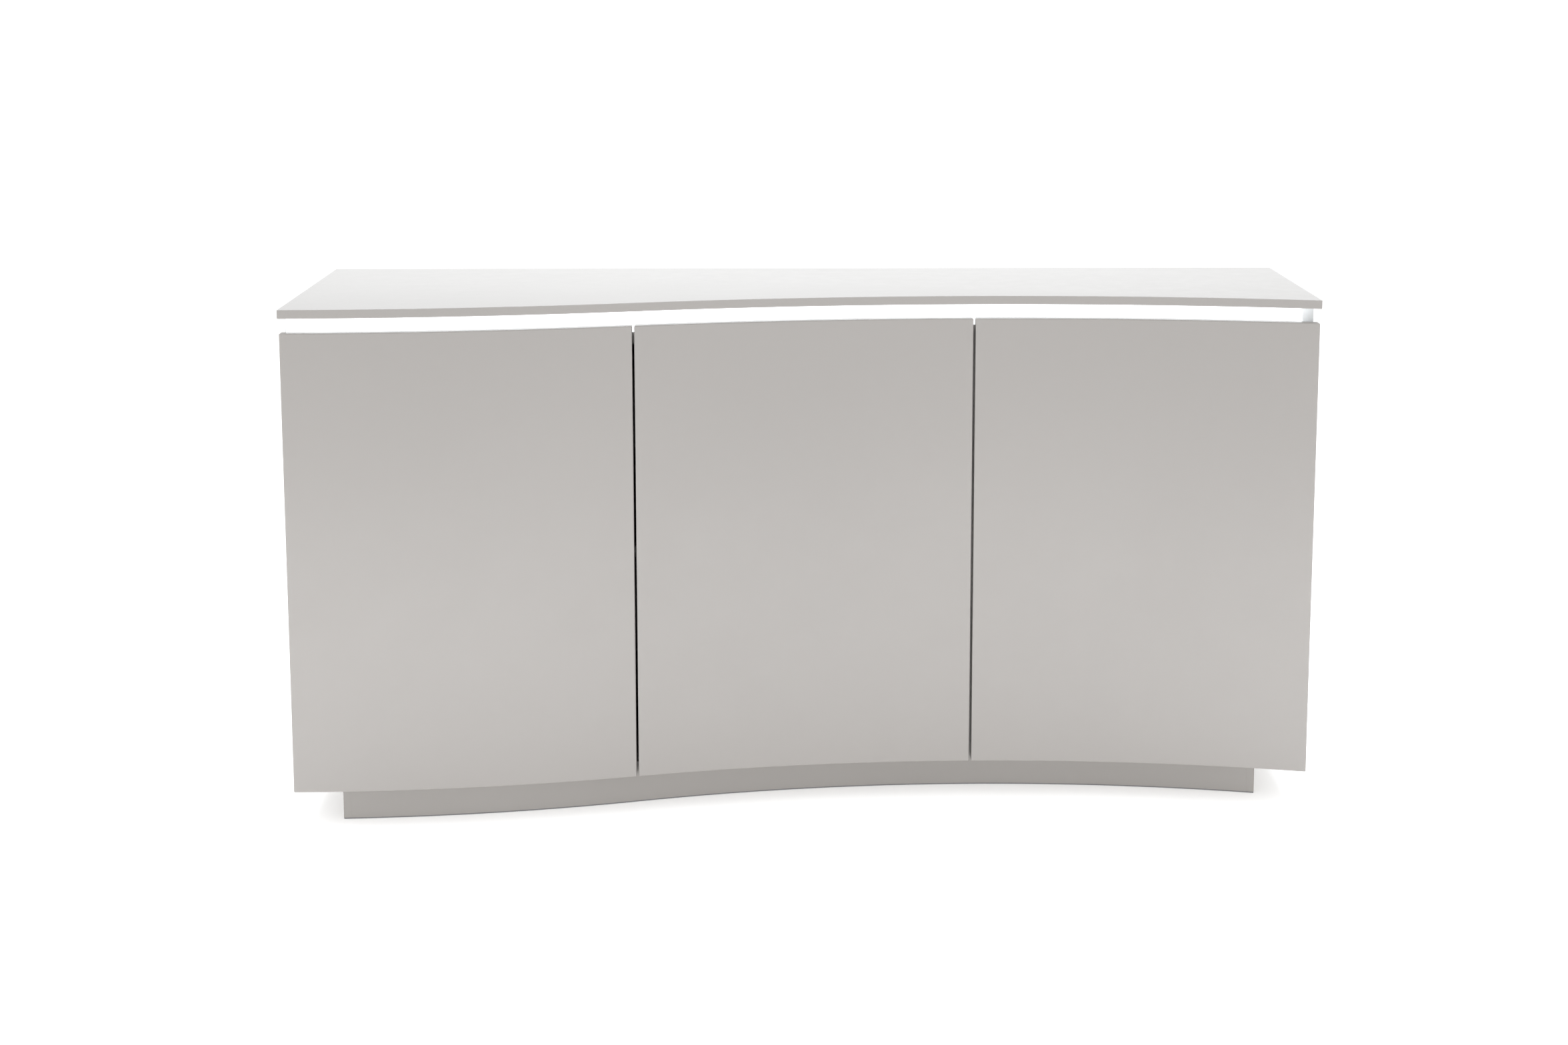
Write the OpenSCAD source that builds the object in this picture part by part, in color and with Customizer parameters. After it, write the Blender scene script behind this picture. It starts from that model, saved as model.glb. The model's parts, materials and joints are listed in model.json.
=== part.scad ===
// Low cabinet with three curved doors under a thin top that floats on a band of light.
// Millimetres. X runs along the width, -Y is the front, Z is up.
// The origin is the middle of the footprint, at floor level.

/* [Overall size] */
// Width over the top slab
width = 1600; // [1500:10:1800]
// Depth of the top slab at its left end
depth = 500; // [480:5:560]
// Height from the floor to the top of the slab
height = 820; // [760:5:900]

/* [Wave front] */
// How far the valley of the front lies behind its crest
wave_depth = 147; // [120:1:160]
// Distance along the width from the crest of the front to its valley
crest_to_valley = 1130; // [1100:5:1180]

/* [Boards] */
// Thickness of the top slab
slab_t = 14; // [12:0.5:16]
// Thickness of the case boards
board_t = 18; // [16:0.5:19]
// Thickness of the doors
door_t = 18; // [18:0.5:18.5]
// Thickness of the back panels
back_t = 6; // [5:0.5:8]
// Thickness of the plinth boards and of the riser rails
rail_t = 12; // [10:0.5:14]

/* [Gaps and reveals] */
// Visible band of light between the slab and the doors
light_gap = 22.5; // [20:0.5:26]
// Gap between two closed doors
door_gap = 3.5; // [3.5:0.1:4]
// How far the slab stands proud of the case at its ends and its back
side_reveal = 2; // [2:0.5:4]
// How far the slab stands proud of the door faces
front_reveal = 1; // [1:0.5:2]
// How far the doors stand up past the case top
door_upstand = 12.5; // [11:0.5:14]

/* [Plinth] */
// Height from the floor to the case
plinth_h = 60; // [50:5:90]
// Distance from the end of the slab to the end of the plinth
plinth_inset = 70; // [60:5:90]
// Setback of the plinth behind the slab at the crest of the wave
plinth_setback = 46; // [46:1:60]

/* [Hidden] */

$fn = 48;
wave_fn = 360;

lacquer = [0.74, 0.72, 0.70];
lacquer_dark = [0.64, 0.62, 0.60];
melamine = [0.80, 0.79, 0.77];
opal = [0.97, 0.98, 1.00];
steel = [0.72, 0.73, 0.75];
zinc = [0.60, 0.61, 0.63];
black_plastic = [0.10, 0.10, 0.11];
grey_plastic = [0.45, 0.45, 0.46];
clear_rubber = [0.85, 0.85, 0.84];
beech = [0.80, 0.66, 0.46];

// ---- Levels ----
slab_z = height - slab_t;
door_top_z = slab_z - light_gap;
case_top_z = door_top_z - door_upstand;
inner_floor_z = plinth_h + board_t;
inner_roof_z = case_top_z - board_t;
shelf_z = (inner_floor_z + inner_roof_z - board_t) / 2;
glide_h = 2;

// ---- Ends, back and seams ----
slab_x = width / 2;
slab_back_y = depth / 2;
case_x = slab_x - side_reveal;
inner_x = case_x - board_t;
case_back_y = slab_back_y - side_reveal;
back_recess = 4;
back_face_y = case_back_y - back_recess;
back_inner_y = back_face_y - back_t;
riser_reveal = 6;
riser_x = case_x - riser_reveal;
riser_inner_x = riser_x - board_t;
door_w = (2 * case_x - 2 * door_gap) / 3;
left_seam_x = -case_x + door_w + door_gap / 2;
right_seam_x = case_x - door_w - door_gap / 2;
partition_x0 = right_seam_x - board_t / 2;
partition_x1 = right_seam_x + board_t / 2;

// ---- The wave: two equal arcs that meet on the left seam ----
meet_x = left_seam_x;
crest_x = meet_x - crest_to_valley / 2;
valley_x = meet_x + crest_to_valley / 2;
function arc_radius(drop) = (crest_to_valley ^ 2 + drop ^ 2) / (4 * drop);
function sagitta(r, x) = r - sqrt(r ^ 2 - x ^ 2);
wave_r = arc_radius(wave_depth);
crest_y = -depth / 2 - sagitta(wave_r, -slab_x - crest_x);
far = 3 * width;

// A wave is [drop, y of its crest]. Offsets d are measured behind it, square to the curve.
plinth_extra_drop = 16;
front_wave = [wave_depth, crest_y];
plinth_wave = [wave_depth + plinth_extra_drop, crest_y + plinth_setback];

function crest_centre(w) = [crest_x, w[1] + arc_radius(w[0])];
function valley_centre(w) = [valley_x, w[1] + w[0] - arc_radius(w[0])];
function meets(w, d) = crest_centre(w) + (arc_radius(w[0]) - d) / (2 * arc_radius(w[0]))
    * (valley_centre(w) - crest_centre(w));
function wave_y(x, d, w = front_wave) = x < meets(w, d)[0]
    ? crest_centre(w)[1] - sqrt((arc_radius(w[0]) - d) ^ 2 - (x - crest_x) ^ 2)
    : valley_centre(w)[1] + sqrt((arc_radius(w[0]) + d) ^ 2 - (x - valley_x) ^ 2);
function wave_angle(x, d, w = front_wave) = x < meets(w, d)[0]
    ? asin((x - crest_x) / (arc_radius(w[0]) - d))
    : asin((valley_x - x) / (arc_radius(w[0]) + d));

// ---- Depths behind the slab's front edge ----
door_face = front_reveal;
door_back = door_face + door_t;
bumper_gap = 2;
case_front = door_back + bumper_gap;
diffuser_front = case_front + 2;
diffuser_t = 3;
light_depth = 8;
riser_front_d = diffuser_front + diffuser_t + light_depth;
shelf_setback = 28;
shelf_front = case_front + shelf_setback;

// ---- Hinges, in the frame of a door's front corner: u along the door, v into the case ----
hinge_from_edge = 100;
hinge_z = [plinth_h + hinge_from_edge, door_top_z - hinge_from_edge];
cup_u = 22;
cup_r = 17.5;
cup_wall = 1;
cup_depth = 12;
flange_u = 13;
flange_size = [21, 1.2, 52];
flange_screw = [24, 22];
case_pivot = [36, 29];
door_pivot = [10.5, 11.3];
link_bend = [25.5, 9];
pin_r = 1.5;
pin_clear = 0.05;
link_w = 8;
link_r = 2;
eye_r = 3;
lug_size = [6, 8, 2];
arm_wall = 1.6;
arm_half_w = 5;
arm_side_clear = 0.4;
arm_web_start = 9;
arm_back = 62;
plate_len = 40;
plate_block_h = 12;
plate_wing = [2.5, 20, 48];
plate_hole = [2.2, 16];

// ---- Latches, near the free edge of each door ----
latch_drop = 9;
latch_z = inner_roof_z - latch_drop;
latch_from_edge = 40;
latch_r = 5.5;
latch_l = 60;
latch_gap = 4;
latch_foot = [28, 26];
nose_r = 3;
nose_clear = 0.3;
nose_l = 40;
tip_r = 4.4;
tip_l = 2.2;

// ---- Fixings ----
dowel_r = 4;
dowel_l = 30;
hole_clear = 0.05;
screw_r = 2;
screw_head_r = 4;
screw_head_h = 2.4;
screw_tip_z = height - 5;
pin_r_shelf = 2.5;
pin_l = 16;
pin_pitch = 32;

// ---- Cable outlets in the back panels ----
grommet_r = 30;
grommet_bore_r = 26;
grommet_lip = [5, 2.5];
grommet_proud = 3;
grommet_z = shelf_z + board_t + 70;
grommet_x = [-260, 530];

// ---- Light: strip with its LEDs, driver, leads and inlet ----
strip_t = 1.2;
strip_h = 10;
led_size = [5, 1.9, 5];
led_back = 0.3;
led_pitch = 48;
led_count = 31;
driver_pos = [520, 150];
driver_size = [120, 42, 20];
driver_ear = [12, 18, 3];
driver_groove = 2;
driver_grooves = 9;
lead_x = 430;
lead_r = 1.8;
inlet_x = 600;
inlet_z = (case_top_z + slab_z) / 2;
inlet_r = 6;
inlet_lip = [8, 1.8];
inlet_bore_r = 2.75;
inlet_bore_l = 9;
inlet_in = 8;

// Half planes left and right of the line through both arc centres
module left_of_meet(w) {
    a = crest_centre(w);
    b = valley_centre(w);
    polygon([a, b, b + [-far, 0], a + [-far, 0]]);
}
module right_of_meet(w) {
    a = crest_centre(w);
    b = valley_centre(w);
    polygon([a, b, b + [far, 0], a + [far, 0]]);
}

// Everything behind the wave at offset d: its crest half and its valley half
module behind_crest(d, w) intersection() {
    left_of_meet(w);
    translate(crest_centre(w)) circle(arc_radius(w[0]) - d, $fn = wave_fn);
}
module behind_valley(d, w) difference() {
    right_of_meet(w);
    translate(valley_centre(w)) circle(arc_radius(w[0]) + d, $fn = wave_fn);
}

// A rectangle in plan that reaches well in front of the wave
module plan(x0, x1, back_y) translate([x0, -depth]) square([x1 - x0, depth + back_y]);

// A board that runs from the wave at offset d back to back_y
module board(x0, x1, z0, z1, d, back_y, w = front_wave) translate([0, 0, z0]) {
    linear_extrude(z1 - z0) intersection() {
        behind_crest(d, w);
        plan(x0, x1, back_y);
    }
    linear_extrude(z1 - z0) intersection() {
        behind_valley(d, w);
        plan(x0, x1, back_y);
    }
}

// A curved panel that follows the wave between the offsets d0 and d1
module strip(x0, x1, z0, z1, d0, d1, w = front_wave) translate([0, 0, z0]) {
    linear_extrude(z1 - z0) intersection() {
        difference() {
            behind_crest(d0, w);
            translate(crest_centre(w)) circle(arc_radius(w[0]) - d1, $fn = wave_fn);
        }
        plan(x0, x1, depth);
    }
    linear_extrude(z1 - z0) intersection() {
        right_of_meet(w);
        difference() {
            translate(valley_centre(w)) circle(arc_radius(w[0]) + d1, $fn = wave_fn);
            translate(valley_centre(w)) circle(arc_radius(w[0]) + d0, $fn = wave_fn);
        }
        plan(x0, x1, depth);
    }
}

module block(x0, x1, y0, y1, z0, z1) {
    translate([x0, y0, z0]) cube([x1 - x0, y1 - y0, z1 - z0]);
}

// A cylinder along X or Y, from a start point
module rod_x(p, r, l) { translate(p) rotate([0, 90, 0]) cylinder(h = l, r = r); }
module rod_y(p, r, l) { translate(p) rotate([-90, 0, 0]) cylinder(h = l, r = r); }

// ---- Dowels that join the case; two fifths of each one is in the side or in the partition's mate ----
dowel_edge_z = [plinth_h + board_t / 2, case_top_z - board_t / 2];
dowel_y_left = [-170, 20, 205];
dowel_y_right = [-80, 60, 205];
dowel_y_mid = [-30, 85, 205];
module side_dowels(r, extra = 0) {
    for (z = dowel_edge_z) {
        for (y = dowel_y_left)
            rod_x([-inner_x - dowel_l * 0.4 - extra, y, z], r, dowel_l + 2 * extra);
        for (y = dowel_y_right)
            rod_x([inner_x - dowel_l * 0.6 - extra, y, z], r, dowel_l + 2 * extra);
    }
}
module partition_dowels(r, extra = 0) {
    for (y = dowel_y_mid) {
        translate([right_seam_x, y, inner_floor_z - dowel_l * 0.4 - extra])
            cylinder(h = dowel_l + 2 * extra, r = r);
        translate([right_seam_x, y, inner_roof_z - dowel_l * 0.6 - extra])
            cylinder(h = dowel_l + 2 * extra, r = r);
    }
}
module carcass_dowels() color(beech) {
    side_dowels(dowel_r);
    partition_dowels(dowel_r);
}
module dowel_holes() {
    side_dowels(dowel_r + hole_clear, 0.5);
    partition_dowels(dowel_r + hole_clear, 0.5);
}

// ---- Screws from the case top through the risers into the slab ----
screw_back_x = [-600, -200, 200, 680];
screw_front_x = [-700, -360, 0, 340, 700];
module at_slab_screws() {
    for (x = screw_back_x) translate([x, case_back_y - rail_t / 2, 0]) children();
    for (x = screw_front_x) translate([x, wave_y(x, riser_front_d + rail_t / 2), 0]) children();
}
module slab_screws() color(zinc) at_slab_screws() {
    translate([0, 0, inner_roof_z]) cylinder(h = screw_tip_z - inner_roof_z, r = screw_r);
    translate([0, 0, inner_roof_z]) cylinder(h = screw_head_h, r = screw_head_r);
}
module slab_screw_holes() at_slab_screws() translate([0, 0, inner_roof_z - 1]) {
    cylinder(h = screw_tip_z - inner_roof_z + 1.5, r = screw_r + hole_clear);
    cylinder(h = screw_head_h + 1 + hole_clear, r = screw_head_r + hole_clear);
}

// ---- Top ----
module top_slab() color(lacquer) difference() {
    board(-slab_x, slab_x, slab_z, height, 0, slab_back_y);
    slab_screw_holes();
}

// ---- Light box between the case and the slab ----
module riser_side(x0, x1) color(melamine)
    board(x0, x1, case_top_z, slab_z, diffuser_front + diffuser_t, case_back_y);
module riser_left() riser_side(-riser_x, -riser_inner_x);
module riser_right() riser_side(riser_inner_x, riser_x);
module riser_front() color(melamine) difference() {
    strip(-riser_inner_x, riser_inner_x, case_top_z, slab_z, riser_front_d, riser_front_d + rail_t);
    slab_screw_holes();
    rod_y([lead_x, -depth, inlet_z], lead_r + 0.5, depth);
}
module riser_back() color(melamine) difference() {
    block(-riser_inner_x, riser_inner_x, case_back_y - rail_t, case_back_y, case_top_z, slab_z);
    slab_screw_holes();
    rod_y([inlet_x, case_back_y - rail_t - 1, inlet_z], inlet_r + hole_clear, rail_t + 2);
}
module light_diffuser() color(opal)
    strip(-riser_x, riser_x, case_top_z, slab_z, diffuser_front, diffuser_front + diffuser_t);

module led_strip() color(opal) {
    d = riser_front_d - strip_t;
    strip(-riser_inner_x + 2, riser_inner_x - 2, inlet_z - strip_h / 2, inlet_z + strip_h / 2,
        d, riser_front_d);
    for (i = [0 : led_count - 1]) {
        x = (i - (led_count - 1) / 2) * led_pitch;
        translate([x, wave_y(x, d), inlet_z]) rotate([0, 0, wave_angle(x, d)])
            translate([-led_size[0] / 2, led_back - led_size[1], -led_size[2] / 2]) cube(led_size);
    }
}
module led_driver() color(black_plastic)
    translate([driver_pos[0], driver_pos[1], case_top_z]) {
        difference() {
            cube(driver_size);
            for (i = [1 : driver_grooves])
                translate([(i / (driver_grooves + 1)) * driver_size[0] - driver_groove / 2, -1,
                    driver_size[2] - driver_groove / 2])
                    cube([driver_groove, driver_size[1] + 2, driver_groove]);
        }
        for (x = [-driver_ear[0], driver_size[0]]) translate([x, driver_ear[0], 0]) cube(driver_ear);
    }

// One lead runs from the strip to the driver, the other from the driver to the inlet
module led_lead() color(black_plastic) {
    y0 = wave_y(lead_x, riser_front_d);
    y1 = driver_pos[1] + driver_size[1] / 2;
    z1 = case_top_z + driver_size[2] / 2;
    y2 = driver_pos[1] + driver_size[1];
    rod_y([lead_x, y0, inlet_z], lead_r, y1 - y0);
    translate([lead_x, y1, min(z1, inlet_z)]) sphere(lead_r);
    translate([lead_x, y1, z1]) cylinder(h = inlet_z - z1, r = lead_r);
    rod_x([lead_x, y1, z1], lead_r, driver_pos[0] - lead_x);
    rod_y([inlet_x, y2, inlet_z], lead_r, case_back_y - rail_t - inlet_in - y2);
}
module dc_inlet() color(black_plastic) difference() {
    union() {
        rod_y([inlet_x, case_back_y - rail_t - inlet_in, inlet_z], inlet_r, rail_t + inlet_in);
        rod_y([inlet_x, case_back_y, inlet_z], inlet_lip[0], inlet_lip[1]);
    }
    rod_y([inlet_x, case_back_y - inlet_bore_l, inlet_z], inlet_bore_r, inlet_bore_l + inlet_lip[1] + 1);
}

// ---- Case ----
module case_top() color(melamine) difference() {
    board(-inner_x, inner_x, inner_roof_z, case_top_z, case_front, case_back_y);
    dowel_holes();
    slab_screw_holes();
}
module case_bottom() color(melamine) difference() {
    board(-inner_x, inner_x, plinth_h, inner_floor_z, case_front, case_back_y);
    dowel_holes();
}

// Shelf pins: [x of the board face, direction into the compartment, y of the two pins]
pin_sites = [
    [-inner_x, 1, [-140, 180]], [partition_x0, -1, [0, 180]],
    [partition_x1, 1, [0, 180]], [inner_x, -1, [-50, 180]]
];
module at_pins(rows) for (s = pin_sites, y = s[2], k = rows)
    translate([s[0] - pin_l / 2, y, shelf_z - pin_r_shelf + pin_pitch * k])
        rotate([0, 90, 0]) children();
module shelf_pins() color(steel) at_pins([0]) cylinder(h = pin_l, r = pin_r_shelf);
module pin_holes() at_pins([-2 : 2]) cylinder(h = pin_l, r = pin_r_shelf + hole_clear);

module side_left() color(lacquer) difference() {
    board(-case_x, -inner_x, plinth_h, case_top_z, case_front, case_back_y);
    dowel_holes();
    pin_holes();
}
module side_right() color(lacquer) difference() {
    board(inner_x, case_x, plinth_h, case_top_z, case_front, case_back_y);
    dowel_holes();
    pin_holes();
}
module partition() color(melamine) difference() {
    board(partition_x0, partition_x1, inner_floor_z, inner_roof_z, case_front, case_back_y);
    dowel_holes();
    pin_holes();
}

// ---- Back panels with their cable grommets ----
module back_panel(x0, x1, hole_x) color(melamine) difference() {
    block(x0, x1, back_inner_y, back_face_y, inner_floor_z, inner_roof_z);
    rod_y([hole_x, back_inner_y - 1, grommet_z], grommet_r + hole_clear, back_t + 2);
}
module back_panel_left() back_panel(-inner_x, partition_x0, grommet_x[0]);
module back_panel_right() back_panel(partition_x1, inner_x, grommet_x[1]);
module cable_grommet(x) color(black_plastic) difference() {
    union() {
        rod_y([x, back_inner_y, grommet_z], grommet_r, back_t + grommet_proud);
        rod_y([x, back_inner_y - grommet_lip[1], grommet_z], grommet_r + grommet_lip[0], grommet_lip[1]);
    }
    rod_y([x, back_inner_y - 4, grommet_z], grommet_bore_r, back_t + 8);
}
module cable_grommet_left() cable_grommet(grommet_x[0]);
module cable_grommet_right() cable_grommet(grommet_x[1]);

// ---- Shelves ----
module shelf_left() color(melamine)
    board(-inner_x + 1, partition_x0 - 1, shelf_z, shelf_z + board_t, shelf_front, back_inner_y - 1);
module shelf_right() color(melamine)
    board(partition_x1 + 1, inner_x - 1, shelf_z, shelf_z + board_t, shelf_front, back_inner_y - 1);

// ---- Plinth ----
plinth_x = slab_x - plinth_inset;
plinth_back_inset = 30;
plinth_back_y = case_back_y - plinth_back_inset;
module plinth_end(x0, x1) color(lacquer_dark)
    board(x0, x1, glide_h, plinth_h, 0, plinth_back_y, plinth_wave);
module plinth_left() plinth_end(-plinth_x, -plinth_x + rail_t);
module plinth_right() plinth_end(plinth_x - rail_t, plinth_x);
module plinth_front() color(lacquer_dark)
    strip(-plinth_x + rail_t, plinth_x - rail_t, glide_h, plinth_h, 0, rail_t, plinth_wave);
module plinth_back() color(lacquer_dark)
    block(-plinth_x + rail_t, plinth_x - rail_t, plinth_back_y - rail_t, plinth_back_y,
        glide_h, plinth_h);
module plinth_brace(x) color(lacquer_dark)
    board(x - rail_t / 2, x + rail_t / 2, glide_h, plinth_h, rail_t,
        plinth_back_y - rail_t, plinth_wave);
module plinth_brace_left() plinth_brace(left_seam_x);
module plinth_brace_right() plinth_brace(right_seam_x);
glide_r = 4.5;
glide_x = [-640, left_seam_x + 60, right_seam_x - 60, 640];
module floor_glides() color(grey_plastic) for (x = glide_x) {
    translate([x, wave_y(x, rail_t / 2, plinth_wave), 0]) cylinder(h = glide_h, r = glide_r);
    translate([x, plinth_back_y - rail_t / 2, 0]) cylinder(h = glide_h, r = glide_r);
}

// ---- Doors: each span is [left edge x, right edge x] ----
LEFT = [-case_x, -case_x + door_w];
MIDDLE = [-door_w / 2, door_w / 2];
RIGHT = [case_x - door_w, case_x];

// Puts a hinge frame on a door's front corner; hand is 1 for a hinge on its left edge
module hinge_space(x, hand) translate([x, wave_y(x, door_face), 0])
    rotate([0, 0, wave_angle(x, door_face)]) mirror([hand < 0 ? 1 : 0, 0, 0]) children();

module door(span, x, hand) color(lacquer) difference() {
    strip(span[0], span[1], plinth_h, door_top_z, door_face, door_back);
    hinge_space(x, hand) for (z = hinge_z) {
        rod_y([cup_u, door_t - cup_depth, z], cup_r + hole_clear, cup_depth + 4);
        hinge_flange(z, hole_clear);
    }
}
module door_left() door(LEFT, LEFT[0], 1);
module door_middle() door(MIDDLE, MIDDLE[1], -1);
module door_right() door(RIGHT, RIGHT[1], -1);

bumper_r = 4;
bumper_t = 1.6;
bumper_from_edge = 14;
module door_bumpers(x) color(clear_rubber)
    for (z = [plinth_h + board_t / 2, case_top_z - board_t / 2])
        translate([x, wave_y(x, door_back), z]) rotate([0, 0, wave_angle(x, door_back)])
            rod_y([0, 0, 0], bumper_r, bumper_t);
module door_bumpers_left() door_bumpers(LEFT[1] - bumper_from_edge);
module door_bumpers_middle() door_bumpers(MIDDLE[0] + bumper_from_edge);
module door_bumpers_right() door_bumpers(RIGHT[0] + bumper_from_edge);

// ---- Concealed hinges ----
// The flange that is screwed to the door's back; extra makes the seat it lies in
module hinge_flange(z, extra = 0)
    translate([flange_u - extra, door_t, z - flange_size[2] / 2 - extra])
        cube([flange_size[0] + 2 * extra, flange_size[1], flange_size[2] + 2 * extra]);

// The cup in the door, with its flange and the pin that carries the link
module hinge_cup(z) {
    difference() {
        union() {
            rod_y([cup_u, door_t - cup_depth, z], cup_r, cup_depth);
            hinge_flange(z);
        }
        rod_y([cup_u, door_t - cup_depth + cup_wall, z], cup_r - cup_wall, cup_depth + 2);
        for (s = [-1, 1]) rod_y([flange_screw[0], door_t - 1, z + flange_screw[1] * s], screw_r, 4);
    }
    translate([door_pivot[0], door_pivot[1], z - link_w / 2 - lug_size[2] - 1])
        cylinder(h = link_w + 2 * lug_size[2] + 2, r = pin_r);
    for (s = [-1, 1])
        translate([door_pivot[0] - lug_size[0] / 2, door_t - cup_depth + cup_wall / 2,
            z + s * (link_w / 2 + lug_size[2]) - lug_size[2] / 2])
            cube(lug_size);
}
module hinge_cups(x, hand) color(steel)
    hinge_space(x, hand) for (z = hinge_z) hinge_cup(z);
module hinge_cups_left() hinge_cups(LEFT[0], 1);
module hinge_cups_middle() hinge_cups(MIDDLE[1], -1);
module hinge_cups_right() hinge_cups(RIGHT[1], -1);

// The cranked link between the pin in the cup and the pin in the arm
module link_bar(a, b) {
    run = b - a;
    translate(a) rotate(atan2(run[1], run[0])) translate([0, -link_r]) square([norm(run), 2 * link_r]);
}
module hinge_link() linear_extrude(link_w) difference() {
    union() {
        translate(door_pivot) circle(eye_r);
        translate(case_pivot) circle(eye_r);
        translate(link_bend) circle(link_r);
        link_bar(door_pivot, link_bend);
        link_bar(link_bend, case_pivot);
    }
    translate(door_pivot) circle(pin_r + pin_clear);
    translate(case_pivot) circle(pin_r + pin_clear);
}
module hinge_links(x, hand) color(steel)
    hinge_space(x, hand) for (z = hinge_z) translate([0, 0, z - link_w / 2]) hinge_link();
module hinge_links_left() hinge_links(LEFT[0], 1);
module hinge_links_middle() hinge_links(MIDDLE[1], -1);
module hinge_links_right() hinge_links(RIGHT[1], -1);

// A hinge arm is square to the case, so it stands where the case pivot lands
function turned(p, a) = [p[0] * cos(a) - p[1] * sin(a), p[0] * sin(a) + p[1] * cos(a)];
function pivot_at(x, hand, p) = [x, wave_y(x, door_face)]
    + turned([hand * p[0], p[1]], wave_angle(x, door_face));

// A channel that holds the link's pin between its two cheeks
module hinge_arm(p, face_x) {
    toward = face_x < p[0] ? -1 : 1;
    half_h = link_w / 2 + arm_side_clear;
    cheek = arm_half_w - arm_side_clear - 0.2;
    for (z = hinge_z) translate([p[0], p[1], z]) {
        for (s = [-1, 1]) translate([0, 0, s * (half_h + arm_wall / 2) - arm_wall / 2])
            linear_extrude(arm_wall) {
                circle(cheek);
                translate([-cheek, 0]) square([2 * cheek, arm_back]);
            }
        translate([0, 0, -half_h - arm_wall])
            cylinder(h = 2 * (half_h + arm_wall), r = pin_r);
        translate([toward * arm_half_w - (toward > 0 ? arm_wall : 0), arm_web_start, -half_h - arm_wall])
            cube([arm_wall, arm_back - arm_web_start, 2 * (half_h + arm_wall)]);
    }
}
module hinge_arms(x, hand, face_x) color(steel) hinge_arm(pivot_at(x, hand, case_pivot), face_x);
module hinge_arms_left() hinge_arms(LEFT[0], 1, -inner_x);
module hinge_arms_middle() hinge_arms(MIDDLE[1], -1, partition_x0);
module hinge_arms_right() hinge_arms(RIGHT[1], -1, inner_x);

// The mounting plate fills the space between the board and the arm
module hinge_plates(x, hand, face_x) color(zinc) {
    p = pivot_at(x, hand, case_pivot);
    near_x = p[0] + (face_x < p[0] ? -arm_half_w : arm_half_w);
    wing_x = face_x + sign(near_x - face_x) * plate_wing[0];
    end_y = p[1] + arm_back;
    mid_y = end_y - plate_len / 2 - 2;
    for (z = hinge_z) difference() {
        union() {
            block(min(face_x, near_x), max(face_x, near_x), end_y - plate_len, end_y,
                z - plate_block_h / 2, z + plate_block_h / 2);
            block(min(face_x, wing_x), max(face_x, wing_x), mid_y - plate_wing[1] / 2,
                mid_y + plate_wing[1] / 2, z - plate_wing[2] / 2, z + plate_wing[2] / 2);
        }
        for (s = [-1, 1])
            rod_x([min(face_x, near_x) - 1, mid_y, z + plate_hole[1] * s],
                plate_hole[0], abs(near_x - face_x) + 2);
    }
}
module hinge_plates_left() hinge_plates(LEFT[0], 1, -inner_x);
module hinge_plates_middle() hinge_plates(MIDDLE[1], -1, partition_x0);
module hinge_plates_right() hinge_plates(RIGHT[1], -1, inner_x);

// ---- Push latches under the case top ----
module latch_space(x) translate([x, wave_y(x, door_back), latch_z])
    rotate([0, 0, wave_angle(x, door_back)]) children();
module latch_body(x) color(grey_plastic) latch_space(x) difference() {
    union() {
        rod_y([0, latch_gap, 0], latch_r, latch_l);
        translate([-latch_foot[0] / 2, latch_gap + 18, latch_r - 1.5])
            cube([latch_foot[0], latch_foot[1], latch_drop - latch_r + 1.5]);
    }
    rod_y([0, latch_gap - 1, 0], nose_r + nose_clear, latch_l - 8);
}
module latch_plunger(x) color(clear_rubber) latch_space(x) {
    rod_y([0, tip_l, 0], nose_r, nose_l);
    rod_y([0, 0.5, 0], tip_r, tip_l);
}
latch_x = [LEFT[1] - latch_from_edge, MIDDLE[0] + latch_from_edge, RIGHT[0] + latch_from_edge];
module latch_body_left() latch_body(latch_x[0]);
module latch_body_middle() latch_body(latch_x[1]);
module latch_body_right() latch_body(latch_x[2]);
module latch_plunger_left() latch_plunger(latch_x[0]);
module latch_plunger_middle() latch_plunger(latch_x[1]);
module latch_plunger_right() latch_plunger(latch_x[2]);

top_slab();
slab_screws();
light_diffuser();
led_strip();
led_driver();
led_lead();
dc_inlet();
riser_front();
riser_back();
riser_left();
riser_right();
case_top();
case_bottom();
side_left();
side_right();
partition();
carcass_dowels();
back_panel_left();
back_panel_right();
cable_grommet_left();
cable_grommet_right();
shelf_left();
shelf_right();
shelf_pins();
plinth_front();
plinth_back();
plinth_left();
plinth_right();
plinth_brace_left();
plinth_brace_right();
floor_glides();
door_left();
door_middle();
door_right();
door_bumpers_left();
door_bumpers_middle();
door_bumpers_right();
hinge_cups_left();
hinge_cups_middle();
hinge_cups_right();
hinge_links_left();
hinge_links_middle();
hinge_links_right();
hinge_arms_left();
hinge_arms_middle();
hinge_arms_right();
hinge_plates_left();
hinge_plates_middle();
hinge_plates_right();
latch_body_left();
latch_body_middle();
latch_body_right();
latch_plunger_left();
latch_plunger_middle();
latch_plunger_right();
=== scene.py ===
"""A low cabinet with a wave-shaped front, a floating top and a band of light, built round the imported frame.

Metres. X runs along the width, -Y is the front, Z is up.
"""

import json
import math

import bmesh
import bpy
from mathutils import Matrix, Vector


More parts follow.
